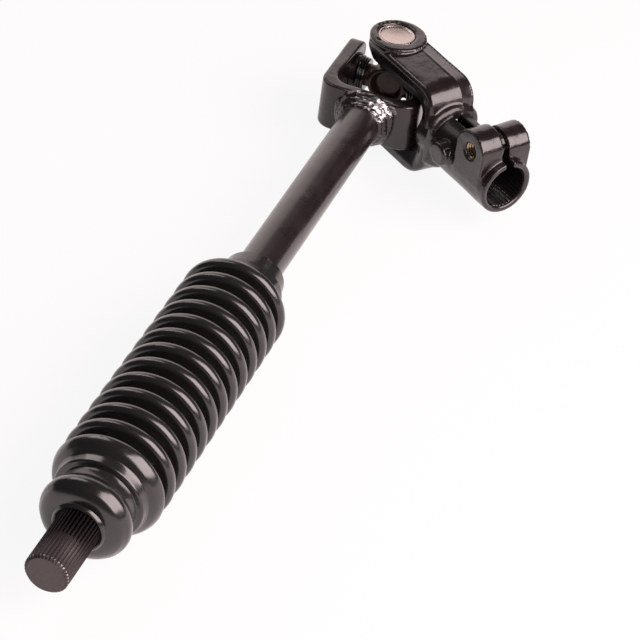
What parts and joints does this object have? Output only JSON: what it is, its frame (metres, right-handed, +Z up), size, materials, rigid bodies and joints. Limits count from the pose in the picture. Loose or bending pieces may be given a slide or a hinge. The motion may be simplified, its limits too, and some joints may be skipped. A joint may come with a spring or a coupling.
{
  "type": "intermediate steering shaft",
  "caption": "Telescopic steering shaft with a splined stub, a ribbed rubber boot and a universal joint whose slotted clamp yoke is folded back to one side.",
  "frame": {"origin": "under the middle of the overall box, at the height of what the part rests on", "axes": "+X along the shaft from the splined end to the universal joint, +Z up along the clamp yoke's pins as it lies"},
  "size_m": [0.4124, 0.1152, 0.0574],
  "materials": {
    "stub_steel": "machined, dull",
    "tube_steel": "drawn",
    "boot_rubber": "glossy black",
    "black_paint": "semi-gloss black coat",
    "cross_steel": "forged, ground journals",
    "cup_steel": "drawn",
    "bearing_steel": "ground",
    "seal_rubber": "matt black",
    "nylon": "natural"
  },
  "bodies": {
    "upper_shaft": {"main_shaft": "black_paint", "slip_sleeve": "nylon", "yoke_weld": "black_paint", "shaft_yoke": "black_paint", "shaft_yoke_right_cup": "cup_steel", "shaft_yoke_right_bush": "bearing_steel", "shaft_yoke_right_thrust_disc": "nylon", "shaft_yoke_left_cup": "cup_steel", "shaft_yoke_left_bush": "bearing_steel", "shaft_yoke_left_thrust_disc": "nylon"},
    "lower_shaft": {"splined_stub": "stub_steel", "slip_tube": "tube_steel", "tube_weld": "tube_steel", "bellows_boot": "boot_rubber"},
    "cross": {"spider_cross": "cross_steel", "shaft_yoke_right_seal": "seal_rubber", "shaft_yoke_left_seal": "seal_rubber", "clamp_yoke_top_seal": "seal_rubber", "clamp_yoke_bottom_seal": "seal_rubber"},
    "clamp_end": {"clamp_yoke": "black_paint", "clamp_yoke_top_cup": "cup_steel", "clamp_yoke_top_bush": "bearing_steel", "clamp_yoke_top_thrust_disc": "nylon", "clamp_yoke_bottom_cup": "cup_steel", "clamp_yoke_bottom_bush": "bearing_steel", "clamp_yoke_bottom_thrust_disc": "nylon"}
  },
  "joints": [
    {"name": "telescope", "type": "slide", "parent": "upper_shaft", "child": "lower_shaft", "axis": [1, 0, 0], "range_m": [-0.03, 0.03], "deforming": ["bellows_boot"]},
    {"name": "shaft_yoke_pins", "type": "hinge", "parent": "upper_shaft", "child": "cross", "pos_m": [0.1924, 0.03163, 0.0287], "axis": [0, 1, 0], "range_deg": [-1.8, 1.8]},
    {"name": "clamp_yoke_pins", "type": "hinge", "parent": "cross", "child": "clamp_end", "pos_m": [0.1924, 0.03163, 0.0287], "axis": [0, 0, 1], "range_deg": [0, 251.4]}
  ]
}
